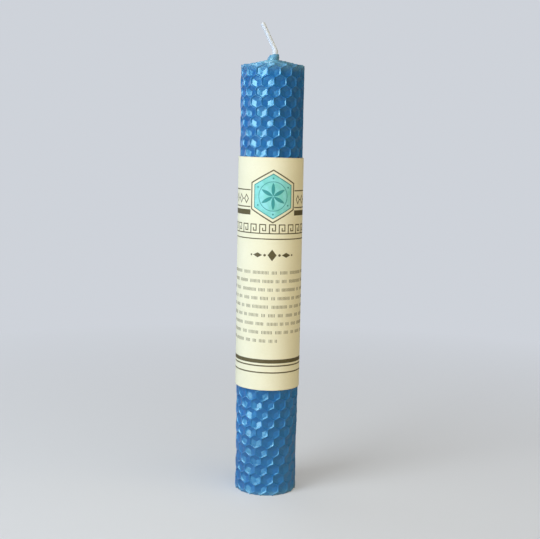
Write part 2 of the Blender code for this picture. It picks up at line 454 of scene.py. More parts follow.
class Shader:
    """A Principled material that is put together from a few named nodes."""

    # The mix node has sockets for numbers and vectors before those for colours
    MIX_COLOURS_IN = (6, 7)
    MIX_COLOUR_OUT = 2

    def __init__(self, name):
        self.material = bpy.data.materials.new(name)
        self.material.use_nodes = True
        self.tree = self.material.node_tree
        self.bsdf = self.tree.nodes["Principled BSDF"]
        self.object_place = self.add("ShaderNodeTexCoord").outputs["Object"]

    def add(self, kind, **values):
        node = self.tree.nodes.new(kind)
        for key, value in values.items():
            setattr(node, key, value)
        return node

    def link(self, source, target):
        self.tree.links.new(source, target)

    def feed(self, socket, value):
        """Set a socket to a number or a colour, or link another node's output to it."""
        if isinstance(value, (int, float, tuple)):
            socket.default_value = value
        else:
            self.link(value, socket)

    def set(self, **values):
        """Feed the sockets of the Principled node that have these names."""
        for key, value in values.items():
            self.feed(self.bsdf.inputs[key.replace("_", " ")], value)

    def stretched(self, scale):
        mapping = self.add("ShaderNodeMapping")
        mapping.inputs["Scale"].default_value = scale
        self.link(self.object_place, mapping.inputs["Vector"])
        return mapping.outputs["Vector"]

    def noise(self, scale, detail=3.0, roughness=0.55, vector=None):
        node = self.add("ShaderNodeTexNoise")
        node.inputs["Scale"].default_value = scale
        node.inputs["Detail"].default_value = detail
        node.inputs["Roughness"].default_value = roughness
        self.link(vector or self.object_place, node.inputs["Vector"])
        return node.outputs["Fac"]

    def attribute(self, name):
        return self.add("ShaderNodeAttribute", attribute_name=name).outputs["Fac"]

    def ranged(self, value, low, high, out_low, out_high):
        node = self.add("ShaderNodeMapRange")
        node.inputs["From Min"].default_value = low
        node.inputs["From Max"].default_value = high
        node.inputs["To Min"].default_value = out_low
        node.inputs["To Max"].default_value = out_high
        self.link(value, node.inputs["Value"])
        return node.outputs["Result"]

    def math(self, operation, a, b):
        node = self.add("ShaderNodeMath", operation=operation)
        for socket, value in zip(node.inputs, (a, b)):
            self.feed(socket, value)
        return node.outputs["Value"]

    def colours(self, factor, a, b):
        node = self.add("ShaderNodeMix", data_type="RGBA")
        self.feed(node.inputs["Factor"], factor)
        for number, value in zip(self.MIX_COLOURS_IN, (a, b)):
            self.feed(node.inputs[number], value)
        return node.outputs[self.MIX_COLOUR_OUT]

    def bump(self, heights):
        """Bumps on top of each other: (height output, strength, distance) of each."""
        normal = None
        for height, strength, distance in heights:
            node = self.add("ShaderNodeBump")
            node.inputs["Strength"].default_value = strength
            node.inputs["Distance"].default_value = distance
            self.link(height, node.inputs["Height"])
            if normal is not None:
                self.link(normal, node.inputs["Normal"])
            normal = node.outputs["Normal"]
        self.set(Normal=normal)


def wax_material():
    wax = Shader("dyed_wax")
    patches = wax.ranged(wax.noise(55.0, 4.0), 0.35, 0.68, 0.0, 1.0)
    colour = wax.colours(patches, WAX_DEEP, WAX_LIGHT)
    # Painted light and shade: the crests are painted lighter, as light through the thin wax would show them,
    # and the pits darker, as painted shade
    crest = wax.ranged(wax.attribute("crest"), 0.6, 1.0, 0.0, 0.5)
    colour = wax.colours(crest, colour, WAX_CREST_PAINTED_LIGHT)
    # Cut places have a pale bloom, and the wax is a little paler towards the foot
    bloom_and_paling_noise = wax.ranged(wax.noise(420.0, 5.0), 0.3, 0.7, 0.55, 1.25)
    bloom_and_paling = wax.math("MULTIPLY", wax.attribute("bloom_and_paling"), bloom_and_paling_noise)
    wax.set(Base_Color=wax.colours(bloom_and_paling, colour, WAX_BLOOM_AND_PALING))
    rough = wax.ranged(wax.noise(160.0, 5.0), 0.3, 0.75, 0.34, 0.48)
    wax.set(Roughness=wax.math("ADD", rough, wax.math("MULTIPLY", bloom_and_paling, 0.22)))
    wax.set(Subsurface_Weight=0.2, Subsurface_Radius=(0.25, 0.6, 1.0), Subsurface_Scale=0.0012, IOR=1.7)
    wax.set(Specular_IOR_Level=1.0, Specular_Tint=WAX_GLINT, Coat_Weight=0.8, Coat_Roughness=0.17)
    wax.bump([(wax.noise(900.0, 4.0), 0.35, 0.00012), (wax.noise(2600.0, 2.0), 0.2, 0.00004)])
    return wax.material


def paper_fibre(shader):
    """The grain of the paper, which shows in its colour, its sheen and its surface, also through ink."""
    return shader.noise(1.0, 4.0, 0.65, shader.stretched(PAPER_GRAIN))


def paper_material():
    paper = Shader("cream_paper")
    fibre = paper_fibre(paper)
    cloud = paper.noise(70.0, 3.0)
    cloud_shade = paper.ranged(cloud, 0.3, 0.7, -0.35, 0.35)
    fibre_shade = paper.ranged(fibre, 0.3, 0.7, 0.15, 0.85)
    colour = paper.colours(paper.math("ADD", cloud_shade, fibre_shade), PAPER_DARK, PAPER_LIGHT)
    # The cut edges have picked up a little dirt
    dirt = paper.math("MULTIPLY", paper.attribute("edge"), 0.35)
    paper.set(Base_Color=paper.colours(dirt, colour, PAPER_SOILED))
    paper.set(Roughness=paper.ranged(fibre, 0.3, 0.7, 0.62, 0.82))
    paper.set(Specular_IOR_Level=0.35, Sheen_Weight=0.12, Sheen_Roughness=0.5)
    paper.bump([(fibre, 0.25, 0.00004), (paper.noise(260.0, 2.0), 0.25, 0.0001)])
    return paper.material


def ink_material(name, light, dark, cloud_scale=0.0):
    """Ink that soaks a little unevenly into the paper's fibres, or in clouds where it is a wash."""
    ink = Shader(name)
    fibre = paper_fibre(ink)
    tone = ink.ranged(fibre, 0.3, 0.72, 0.0, 1.0)
    if cloud_scale:
        clouds = ink.ranged(ink.noise(cloud_scale, 2.0), 0.35, 0.65, 0.0, 1.0)
        tone = ink.math("ADD", ink.math("MULTIPLY", clouds, 0.75), ink.math("MULTIPLY", tone, 0.25))
    ink.set(Base_Color=ink.colours(tone, (*dark, 1), (*light, 1)))
    ink.set(Roughness=ink.ranged(fibre, 0.3, 0.7, 0.5, 0.7))
    ink.set(Specular_IOR_Level=0.4)
    ink.bump([(fibre, 0.25, 0.00004)])
    return ink.material


def wick_material():
    cotton = Shader("primed_cotton")
    strands = cotton.noise(1.0, 3.0, 0.6, cotton.stretched(COTTON_GRAIN))
    shade = cotton.ranged(strands, 0.3, 0.7, 0.0, 1.0)
    cotton.set(Base_Color=cotton.colours(shade, COTTON_DARK, COTTON_LIGHT))
    cotton.set(Roughness=cotton.ranged(strands, 0.3, 0.7, 0.45, 0.7))
    cotton.set(Subsurface_Weight=0.6, Subsurface_Radius=(1.0, 0.98, 0.96), Subsurface_Scale=0.001)
    cotton.set(Specular_IOR_Level=0.5, Sheen_Weight=0.25, Sheen_Roughness=0.4)
    cotton.bump([(strands, 0.25, 0.00002)])
    return cotton.material


def new_object(name, data, material, body, slot, *nodes):
    """A piece that rides on this body, and stands for these nodes of the construction if any are given."""
    data.name = name
    obj = bpy.data.objects.new(name, data)
    bpy.context.scene.collection.objects.link(obj)
    data.materials.append(material)
    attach(obj, body)
    if nodes:
        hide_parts(*nodes)


def mesh_from(bm, crease_angle=None, smooth=True):
    """A mesh whose float layers the materials read as attributes."""
    bmesh.ops.recalc_face_normals(bm, faces=bm.faces)
    mesh = bpy.data.meshes.new("piece")
    bm.to_mesh(mesh)
    bm.free()
    if smooth:
        mesh.shade_smooth()
    if crease_angle:
        mesh.set_sharp_from_angle(angle=crease_angle)
    return mesh


def cut(bm, place, direction, tolerance, geometry=None, clear_outer=False):
    """Cut the mesh, or only the part of it that is given, along a plane."""
    geometry = geometry or bm.verts[:] + bm.edges[:] + bm.faces[:]
    result = bmesh.ops.bisect_plane(
        bm, geom=geometry, plane_co=place, plane_no=direction, dist=tolerance, clear_outer=clear_outer
    )
    return result["geom"]


def close_slab(bm, columns):
    """The faces of a thin slab. Each column has a line of points up its front and one up its back."""
    for (front0, back0), (front1, back1) in zip(columns, columns[1:]):
        for line0, line1 in ((front0, front1), (back1, back0)):
            for k in range(len(line0) - 1):
                bm.faces.new((line0[k], line1[k], line1[k + 1], line0[k + 1]))
        bm.faces.new((front0[0], back0[0], back1[0], front1[0]))
        bm.faces.new((front0[-1], front1[-1], back1[-1], back0[-1]))
    for front, back in (columns[0], columns[-1]):
        for k in range(len(front) - 1):
            bm.faces.new((front[k], front[k + 1], back[k + 1], back[k]))


# The wax


def cell_fan(bm, layer, centre):
    """One cell drawn flat: rings of points from its centre out to the middle of its walls."""
    depth_share = MEAN_DEPTH_SHARE + DEPTH_SHARE_SPREAD * uneven(*centre, 9.4, CELL_LUMP_SIZE)
    tilt = Vector([uneven(*centre, layer, CELL_LUMP_SIZE) for layer in TILT_LAYERS])
    tilt *= BASE_TILT * (1 + HELD_END_TILT * held_share(centre.y))
    half = HEX_CORNER / 2
    corners = [Vector((HALF_CELL, half)), Vector((0, HEX_CORNER)), Vector((-HALF_CELL, half))]
    corners += [-corner for corner in corners]
    shares = [j / SIDE_SEGMENTS for j in range(SIDE_SEGMENTS)]
    outline = [corners[k].lerp(corners[(k + 1) % 6], share) for k in range(6) for share in shares]

    def vert(p):
        place = centre + p
        depth = relief(p, wear_at(place.x, place.y), depth_share, tilt)
        v = bm.verts.new((centre.x + p.x, centre.y + p.y, SHEET_THICKNESS - depth))
        # How high the face lies: the wax material paints the crests lighter with it, as painted light, and
        # the pits darker, as painted shade
        v[layer] = 1 - depth / CELL_DEPTH
        return v

    rings = [[vert(p * reach) for p in outline] for reach in RING_REACHES]
    middle = vert(Vector((0, 0)))
    count = len(outline)
    for i in range(count):
        j = (i + 1) % count
        bm.faces.new((middle, rings[0][i], rings[0][j]))
        for inner, outer in zip(rings, rings[1:]):
            bm.faces.new((inner[i], outer[i], outer[j], inner[j]))
    # The rhombs meet in creases that run from the middle to every second corner
    spine = [middle] + [None] * CREASED_RINGS
    for i in range(0, count, 2 * SIDE_SEGMENTS):
        spine[1:] = [ring[i] for ring in rings[:CREASED_RINGS]]
        for a, b in zip(spine, spine[1:]):
            bm.edges.get((a, b)).smooth = False


def at_rim(z):
    """1 at the sheet's top edge, which fades to 0 a little below it."""
    return smoothstep(SHEET_HEIGHT - RIM_WAVE_REACH, SHEET_HEIGHT, z)


def rim_wave(u, z):
    """The top edge isn't cut quite level, and dips a little here and there."""
    dip = 0.5 + uneven(u, 0.0, 3.3, RIM_WAVE_LENGTH)
    return -RIM_WAVE * dip * at_rim(z)


def outer_turn_start():
    """Where the outermost turn is tucked under the seam."""
    return length_wound(END_ANGLE - FULL_TURN) - TUCK_LENGTH


def press_cells(bm, crest, start):
    """Rows of cells from this place to the sheet's end, made a little uneven and trimmed to its edges."""
    rows = int(SHEET_HEIGHT / ROW_PITCH) + 2
    columns = int((SHEET_LENGTH - start) / CELL_WIDTH) + 2
    for row in range(-1, rows):
        z = SHEET_HEIGHT - TOP_ROW_DROP - ROW_PITCH * row
        for column in range(columns):
            u = SHEET_LENGTH - HALF_CELL * (row % 2) - CELL_WIDTH * column
            cell_fan(bm, crest, Vector((u, z)))
    bmesh.ops.remove_doubles(bm, verts=bm.verts, dist=WELD_DISTANCE)
    for vert in bm.verts:
        vert.co.x, vert.co.y = wobble(vert.co.x, vert.co.y)
    for place, direction in (
        ((start, 0, 0), (-1, 0, 0)),
        ((SHEET_LENGTH, 0, 0), (1, 0, 0)),
        ((0, 0, 0), (0, -1, 0)),
        ((0, SHEET_HEIGHT, 0), (0, 1, 0)),
    ):
        cut(bm, place, direction, TOLERANCE, clear_outer=True)


def extrude_rim(bm, crest, move):
    """Draw the sheet's open edge out by one band, and return the edges that are open then."""
    rim = [edge for edge in bm.edges if edge.is_boundary]
    skirt = bmesh.ops.extrude_edge_only(bm, edges=rim)["geom"]
    for item in skirt:
        if isinstance(item, bmesh.types.BMVert):
            item[crest] = CUT_EDGE_CREST
            move(item)
    return [item for item in skirt if isinstance(item, bmesh.types.BMEdge) and item.is_boundary]


def close_back(bm, crest, start):
    """Give the sheet its thickness.

    The cut edge follows the relief on both sides, and just behind it the back is plain: one face, folded
    every few millimetres so that it can be rolled.
    """

    def thicken(vert):
        vert.co.z = max(0.0, vert.co.z - WEB_THICKNESS)

    def tuck_in(vert):
        vert.co.x = clamp(vert.co.x, start + RIM_DEPTH, SHEET_LENGTH - RIM_DEPTH)
        vert.co.y = clamp(vert.co.y, RIM_DEPTH, SHEET_HEIGHT - RIM_DEPTH)
        vert.co.z = 0.0

    extrude_rim(bm, crest, thicken)
    back_edges = extrude_rim(bm, crest, tuck_in)
    back = bmesh.ops.contextual_create(bm, geom=back_edges)["faces"]
    folds = math.ceil((SHEET_LENGTH - start) / HALF_CELL)
    for i in range(1, folds):
        fold = mix(start, SHEET_LENGTH, i / folds)
        edges = {edge for face in back for edge in face.edges}
        verts = {vert for face in back for vert in face.verts}
        pieces = cut(bm, (fold, 0, 0), (1, 0, 0), FINE_TOLERANCE, [*back, *edges, *verts])
        back = [item for item in pieces if isinstance(item, bmesh.types.BMFace)]
    bmesh.ops.remove_doubles(bm, verts=bm.verts, dist=TOLERANCE)


def build_outer_turn(material):
    """The turn that shows: each cell has its rhombs and walls, and the cut edges show the thickness."""
    start = outer_turn_start()
    bm = bmesh.new()
    crest = bm.verts.layers.float.new("crest")
    bloom_and_paling = bm.verts.layers.float.new("bloom_and_paling")
    press_cells(bm, crest, start)
    close_back(bm, crest, start)
    for vert in bm.verts:
        u, z, w = vert.co
        from_edge = min(SHEET_HEIGHT - z, FOOT_BLOOM_NARROWING * z)
        edge_bloom = EDGE_BLOOM * smoothstep(EDGE_BLOOM_REACH, 0.0, from_edge)
        # A pale bloom near the cut edges, and a little paler towards the foot
        vert[bloom_and_paling] = max(edge_bloom, FOOT_PALING * held_share(z))
        vert.co = rolled(u, z + rim_wave(u, z), w)
    bmesh.ops.triangulate(bm, faces=[face for face in bm.faces if len(face.verts) > 4])
    bmesh.ops.dissolve_degenerate(bm, dist=FINE_TOLERANCE, edges=bm.edges)
    new_object("wax_outer_turn", mesh_from(bm), material, "candle", "wax", "wax_sheet")


def inner_heights():
    """Rows of the inner turns' mesh: close together at both ends, where they show, and none between."""
    step = HEX_CORNER / 4
    ends = [step * i for i in range(INNER_END_ROWS)]
    return ends + [SHEET_HEIGHT - height for height in reversed(ends)]


def collar_drop(angle):
    """The collar's torn top edge is lowest on its left side."""
    left = max(0.0, -around_wick(angle, 1.0).x)
    ragged = max(0.0, 0.5 + noise.noise(Vector((COLLAR_TEARS_PER_RADIAN * angle, 0.0, 4.2))))
    drop = COLLAR_TEAR * ragged + COLLAR_LEFT_DROP * smoothstep(COLLAR_LEFT_START, 1.0, left)
    return collar_share(angle) * drop


def inner_sides(u, z, crushed):
    """How far out from the spiral an inner turn's front and back lie: fluted, or crushed nearly plain."""
    depth = relief(nearest_cell_offset(*wobble(u, z)), wear_at(u, z))
    web = SHEET_THICKNESS - min(depth, SHEET_THICKNESS - WEB_THICKNESS)
    front = mix(web, CRUSHED_THICKNESS + CRUSHED_RELIEF_SHARE * (web - MEAN_THICKNESS), crushed)
    fluted = SHEET_THICKNESS - CELL_DEPTH * BACK_DEPTH_SHARE - depth * BACK_RELIEF_SHARE
    back = mix(max(0.0, fluted - WEB_THICKNESS * BACK_WEB_SHARE), 0.0, crushed)
    return front, min(back, front - WEB_THICKNESS * LEAST_WEB_SHARE)


def build_inner_turns(material):
    """The turns inside, whose cut edges show as a spiral at both ends, and the collar round the wick."""
    bm = bmesh.new()
    crest = bm.verts.layers.float.new("crest")
    bloom_and_paling = bm.verts.layers.float.new("bloom_and_paling")
    step = HALF_CELL / 4
    stop = outer_turn_start() + INNER_OVERLAP
    columns = []
    u = 0.0
    while u < stop + step:
        angle = wound_angle(u)
        crushed = smoothstep(UNCRUSHED_TURNS, CRUSHED_TURNS, angle / FULL_TURN)
        column = []
        for side in range(2):
            line = []
            for z in inner_heights():
                w = inner_sides(u, z, crushed)[side]
                drop = collar_drop(angle) * at_rim(z)
                vert = bm.verts.new(rolled(u, z + rim_wave(u, z) - drop, max(0.0, w)))
                # The thicker the front, the more of the painted crest light it gets
                vert[crest] = INNER_CREST_LOW + INNER_CREST_RISE * (w / SHEET_THICKNESS)
                edge_bloom = INNER_EDGE_BLOOM * smoothstep(INNER_BLOOM_REACH, 0.0, min(SHEET_HEIGHT - z, z))
                vert[bloom_and_paling] = max(edge_bloom, COLLAR_BLOOM * collar_share(angle))
                line.append(vert)
            column.append(line)
        columns.append(column)
        u += min(step, INNER_LONGEST_STEP * (back_radius(angle) + SHEET_THICKNESS))
    close_slab(bm, columns)
    mesh = mesh_from(bm, WAX_CREASE_ANGLE)
    new_object("wax_inner_turns", mesh, material, "candle", "wax", "wax_sheet")


# The wick


def wick_frame(height):
    """The wick's centre and its tilt at this length along it, counted from the candle's base."""
    exit_height = SHEET_HEIGHT + CONE_RISE + COLLAR_RISE
    bend_start = exit_height + WICK_NECK - WICK_NECK_BLEND
    bend_length = 2 * WICK_NECK_BLEND
    bend_radius = bend_length / WICK_LEAN
    tilt = WICK_LEAN * clamp((height - bend_start) / bend_length)
    straight = max(0.0, height - bend_start - bend_length)
    aside = WICK_SIDESTEP * smoothstep(exit_height - COLLAR_RISE, exit_height, height)
    x = aside - bend_radius * (1 - math.cos(tilt)) - straight * math.sin(tilt)
    z = min(height, bend_start) + bend_radius * math.sin(tilt) + straight * math.cos(tilt)
    return Vector((WICK.x + x, WICK.y, z)), tilt


def wick_end():
    return SHEET_HEIGHT + CONE_RISE + COLLAR_RISE + WICK_NECK + WICK_NECK_BLEND + WICK_FREE_LENGTH


def wick_point(height, bearing, radius):
    centre, tilt = wick_frame(height)
    side, forward = math.cos(bearing), math.sin(bearing)
    across = Vector((math.cos(tilt) * side, forward, math.sin(tilt) * side))
    return centre + across * radius


def neck_swell(height):
    """The wick is a little fatter where it bends out of the collar."""
    bend = SHEET_HEIGHT + CONE_RISE + COLLAR_RISE + NECK_SWELL_RISE
    return 1 + NECK_SWELL * smoothstep(NECK_SWELL_REACH, NECK_SWELL_CORE, abs(height - bend))


def tube_curve(lines, radius, resolution):
    """A curve object's data with one spline for each line of (point, share of the radius)."""
    curve = bpy.data.curves.new("piece", "CURVE")
    curve.dimensions = "3D"
    curve.bevel_depth = radius
    curve.bevel_resolution = resolution
    curve.use_fill_caps = True
    for line in lines:
        spline = curve.splines.new("POLY")
        spline.points.add(len(line) - 1)
        for point, (place, share) in zip(spline.points, line):
            point.co = (*place, 1)
            point.radius = share
    return curve


def plait_relief(bearing, turned):
    """How far the strands stand out here: four wind each way, and pass over and under each other in turn."""
    strands = []
    for way in (1, -1):
        ridge = math.cos(2 * (bearing - way * turned)) ** 2
        strands.append(ridge * (0.6 + 0.4 * way * math.cos(4 * turned)))
    return max(strands)


def braid_radius(height, bearing):
    """How thick the plait is here. Its cut end is a little rounded."""
    turned = FULL_TURN * (height - BRAIDED_FROM) / BRAID_PITCH
    lump_place = Vector((height * BRAID_LUMPS_PER_METRE, math.cos(bearing), math.sin(bearing)))
    lump = BRAID_LUMP * noise.noise(lump_place)
    strands = BRAID_RADIUS - BRAID_GROOVE * (1 - plait_relief(bearing, turned))
    rounding = mix(CUT_END_SHARE, 1.0, smoothstep(0, CUT_END_ROUNDING, wick_end() - height))
    return (neck_swell(height) * strands + lump) * rounding


def build_braid(material):
    bm = bmesh.new()
    rings = []
    count = round((wick_end() - BRAIDED_FROM) / BRAID_RING_STEP)
    for i in range(count + 1):
        height = mix(BRAIDED_FROM, wick_end(), i / count)
        bearings = [FULL_TURN * k / BRAID_SIDES for k in range(BRAID_SIDES)]
        points = [wick_point(height, bearing, braid_radius(height, bearing)) for bearing in bearings]
        rings.append([bm.verts.new(point) for point in points])
    for low, high in zip(rings, rings[1:]):
        for k in range(BRAID_SIDES):
            j = (k + 1) % BRAID_SIDES
            bm.faces.new((low[k], low[j], high[j], high[k]))
    for ring in (rings[0], rings[-1]):
        edges = [bm.edges.get((ring[k - 1], ring[k])) for k in range(BRAID_SIDES)]
        bmesh.ops.triangle_fill(bm, edges=edges, use_beauty=True)
    mesh = mesh_from(bm, WICK_CREASE_ANGLE)
    new_object("wick_braid", mesh, material, "candle", "wick", "wick")


def build_core(material):
    """The middle of the wick, which is all there is of it deeper in the roll."""
    start = CONE_RISE + COLLAR_RISE
    end = wick_end() - WICK_CORE_END_GAP
    heights = [start, BRAIDED_FROM - WICK_CORE_SWELL_BLEND, BRAIDED_FROM]
    heights += [mix(BRAIDED_FROM, end, i / WICK_CORE_STEPS) for i in range(1, WICK_CORE_STEPS + 1)]
    shares = [WICK_CORE_SWELL, WICK_CORE_SWELL] + [1.0] * (len(heights) - 2)
    core = [(wick_frame(height)[0], share) for height, share in zip(heights, shares)]
    curve = tube_curve([core], WICK_CORE_RADIUS, 3)
    new_object("wick_core", curve, material, "candle", "wick", "wick")


def build_fibres(material):
    """Loose cotton fibres at the cut end."""
    rng = random.Random(4)
    fibres = []
    for _ in range(FIBRE_COUNT):
        bearing = rng.uniform(0, FULL_TURN)
        radius = rng.uniform(*FIBRE_PLACES)
        foot = wick_end() - rng.uniform(*FIBRE_ROOTS)
        reach = rng.uniform(*FIBRE_LENGTHS)
        spread = rng.uniform(*FIBRE_SPREADS)
        line = []
        for i in range(FIBRE_STEPS + 1):
            t = i / FIBRE_STEPS
            height = min(foot + reach * t, wick_end() + FIBRE_STANDOUT)
            place = wick_point(height, bearing + FIBRE_TWIST * t, radius * mix(1, spread, t * t))
            line.append((place, 1 - FIBRE_TAPER * t))
        fibres.append(line)
    curve = tube_curve(fibres, FIBRE_RADIUS, 0)
    new_object("wick_fibres", curve, material, "candle", "wick", "wick")


# The label


def outline_distance(outline, bearing):
    """How far the counter-clockwise loop lies from the origin in this direction."""
    ray = unit(bearing)
    for a, b in zip(outline, outline[1:] + outline[:1]):
        if a.cross(ray) >= 0 and ray.cross(b) >= 0:
            return a.cross(b) / ray.cross(b - a)
    raise ValueError("the loop doesn't go round the origin")


class Wrap:
    """The label's paper in plan: bearings, with the place round it and the radius of its face at each."""

    def __init__(self):
        outline = [WICK + point for point in roll_outline()]
        seam_radius = outline_distance(outline, LABEL_SEAM_ANGLE) + LABEL_CLEARANCE
        sweep = FULL_TURN + LABEL_OVERLAP / seam_radius
        ramp = LABEL_RAMP / seam_radius
        steps = round(sweep / LABEL_STEP)
        self.bearings = [LABEL_SEAM_ANGLE + sweep * i / steps for i in range(steps + 1)]
        self.radii = []
        for bearing in self.bearings:
            swept = bearing - LABEL_SEAM_ANGLE
            climb = clamp((swept - FULL_TURN + ramp) / ramp) * (PAPER_THICKNESS + GLUE_GAP)
            # Paper bends one way only, so it bulges a little along its whole height
            bulge = PAPER_BULGE * noise.noise(Vector((3 * math.cos(bearing), 3 * math.sin(bearing), 1.7)))
            inner = outline_distance(outline, bearing) + LABEL_CLEARANCE + climb + bulge
            self.radii.append(inner + PAPER_THICKNESS)
        face = [Vector((r * math.cos(b), r * math.sin(b))) for b, r in zip(self.bearings, self.radii)]
        self.places = [0.0]
        for a, b in zip(face, face[1:]):
            self.places.append(self.places[-1] + (b - a).length)
        middle = next(i for i, bearing in enumerate(self.bearings) if bearing > FRONT)
        share = (FRONT - self.bearings[middle - 1]) / (self.bearings[middle] - self.bearings[middle - 1])
        front = mix(self.places[middle - 1], self.places[middle], share)
        self.places = [place - front - PRINT_OFFSET for place in self.places]

    def point(self, s, z, inset=0.0):
        """Where a place on the flat label goes, this far inside or outside its printed face."""
        i = 1
        while i < len(self.places) - 1 and self.places[i] < s:
            i += 1
        t = (s - self.places[i - 1]) / (self.places[i] - self.places[i - 1])
        a, b = (unit(self.bearings[k]) * (self.radii[k] + inset) for k in (i - 1, i))
        x, y = a.lerp(b, t)
        return x, y, LABEL_BASE_HEIGHT + z - (s + PRINT_OFFSET) * math.tan(LABEL_SKEW)


def build_paper(wrap, material):
    bm = bmesh.new()
    edge = bm.verts.layers.float.new("edge")
    heights = [0.0, *PAPER_EDGE_ROWS]
    heights += [LABEL_HEIGHT * i / PAPER_ROWS for i in range(1, PAPER_ROWS)]
    heights += [LABEL_HEIGHT - row for row in reversed(PAPER_EDGE_ROWS)] + [LABEL_HEIGHT]
    columns = []
    for s in wrap.places:
        column = []
        for inset in (0.0, -PAPER_THICKNESS):
            line = []
            for z in heights:
                vert = bm.verts.new(wrap.point(s, z, inset))
                vert[edge] = 1.0 if z in (0.0, LABEL_HEIGHT) or s == wrap.places[-1] else 0.0
                line.append(vert)
            column.append(line)
        columns.append(column)
    close_slab(bm, columns)
    mesh = mesh_from(bm, PAPER_CREASE_ANGLE)
    new_object("label_paper", mesh, material, "sleeve", "paper", "label")


class Print:
    """Flat shapes in one ink, laid out on the flat label and then wrapped round with it."""

    def __init__(self, wrap, layer=1):
        self.wrap = wrap
        self.layer = layer
        self.bm = bmesh.new()

    def polygon(self, outline, hole=None):
        """A filled outline of (s, z) points, with one hole if it is given."""
        loops = [[Vector((*point, 0)) for point in loop] for loop in (outline, hole) if loop]
        verts = [self.bm.verts.new(point) for loop in loops for point in loop]
        for triangle in tessellate_polygon(loops):
            self.bm.faces.new([verts[i] for i in triangle])

    def bar(self, s0, s1, z0, z1):
        self.polygon([(s0, z0), (s1, z0), (s1, z1), (s0, z1)])

    def ring(self, outline, width_share):
        """A band inside an outline that goes round the middle of its own points."""
        mid_s = sum(s for s, _ in outline) / len(outline)
        mid_z = sum(z for _, z in outline) / len(outline)
        hole = [(mix(s, mid_s, width_share), mix(z, mid_z, width_share)) for s, z in outline]
        self.polygon(outline, hole)

    def finish(self, name, material):
        bm = self.bm
        bmesh.ops.recalc_face_normals(bm, faces=bm.faces)
        low = min(v.co.x for v in bm.verts)
        high = max(v.co.x for v in bm.verts)
        for place in self.wrap.places:
            if low < place < high:
                cut(bm, (place, 0, 0), (1, 0, 0), FINE_TOLERANCE)
        bmesh.ops.dissolve_degenerate(bm, dist=TOLERANCE, edges=bm.edges)
        top = self.layer * INK_THICKNESS
        solid = bmesh.ops.extrude_face_region(bm, geom=bm.faces[:])["geom"]
        raised = {item for item in solid if isinstance(item, bmesh.types.BMVert)}
        for vert in bm.verts:
            vert.co = self.wrap.point(vert.co.x, vert.co.y, top if vert in raised else -INK_SINK)
        new_object(name, mesh_from(bm, smooth=False), material, "sleeve", "paper")


def arc(mid_s, mid_z, radius, start, end, count):
    bearings = [mix(start, end, i / count) for i in range(count + 1)]
    return [(mid_s + radius * math.cos(bearing), mid_z + radius * math.sin(bearing)) for bearing in bearings]


def circle(mid_s, mid_z, radius, count=48):
    return arc(mid_s, mid_z, radius, 0, FULL_TURN, count)[:-1]


def hexagon(mid_s, mid_z, radius):
    return arc(mid_s, mid_z, radius, math.radians(30), math.radians(390), 6)[:-1]


def lozenge(mid_s, mid_z, half_width, half_height):
    return [
        (mid_s - half_width, mid_z),
        (mid_s, mid_z - half_height),
        (mid_s + half_width, mid_z),
        (mid_s, mid_z + half_height),
    ]


def petal(mid_s, mid_z, length, bearing):
    """A petal as compasses draw it: two arcs that meet at the middle and at the tip."""
    points = []
    for side in (1, -1):
        swing_s = mid_s + length * math.cos(bearing - side * math.radians(60))
        swing_z = mid_z + length * math.sin(bearing - side * math.radians(60))
        start = bearing + side * math.radians(120)
        end = bearing + side * math.radians(60)
        sweep = arc(swing_s, swing_z, length, start, end, 10)
        points += sweep if side == 1 else sweep[::-1]
    return points[:10] + points[11:-1]


def print_label(wrap):
    dark = ink_material("label_dark_ink", *DARK_INKS)
    teal = ink_material("label_teal_ink", *TEAL_INKS, 260.0)
    deep_teal = ink_material("label_deep_teal_ink", *DEEP_TEAL_INKS)
    build_rules(wrap, dark)
    build_medallion(wrap, dark, teal, deep_teal)
    build_side_lozenges(wrap, dark)
    build_key_row(wrap, dark)
    build_divider(wrap, dark)
    build_text_texture(wrap, dark)


def build_rules(wrap, ink):
    """The bands and rules that run round the label. Those at the medallion stop short of it."""
    first = wrap.places[0] + PRINT_MARGIN
    last = wrap.places[-1] - PRINT_MARGIN
    reach = (MEDALLION_RADIUS * math.cos(math.radians(30)) + MEDALLION_MARGIN) * MM
    rules = Print(wrap)
    for height, thickness in (
        (THICK_BAND_HEIGHT, THICK_BAND_THICKNESS),
        (THICK_BAND_HEIGHT + THICK_BAND_RULE_RISE, RULE_THICKNESS),
        (SIDE_BAND_HEIGHT + SIDE_BAND_RULE_RISE, RULE_THICKNESS),
        (RULE_HEIGHT, RULE_THICKNESS),
        (BOTTOM_BAND_HEIGHT, BOTTOM_BAND_THICKNESS),
        *((height, BOTTOM_RULE_THICKNESS) for height in BOTTOM_RULE_HEIGHTS),
    ):
        z0 = (height - thickness / 2) * MM
        z1 = (height + thickness / 2) * MM
        if height > RULE_HEIGHT:
            rules.bar(first, -reach, z0, z1)
            rules.bar(reach, last, z0, z1)
        else:
            rules.bar(first, last, z0, z1)
    rules.finish("label_rules", ink)


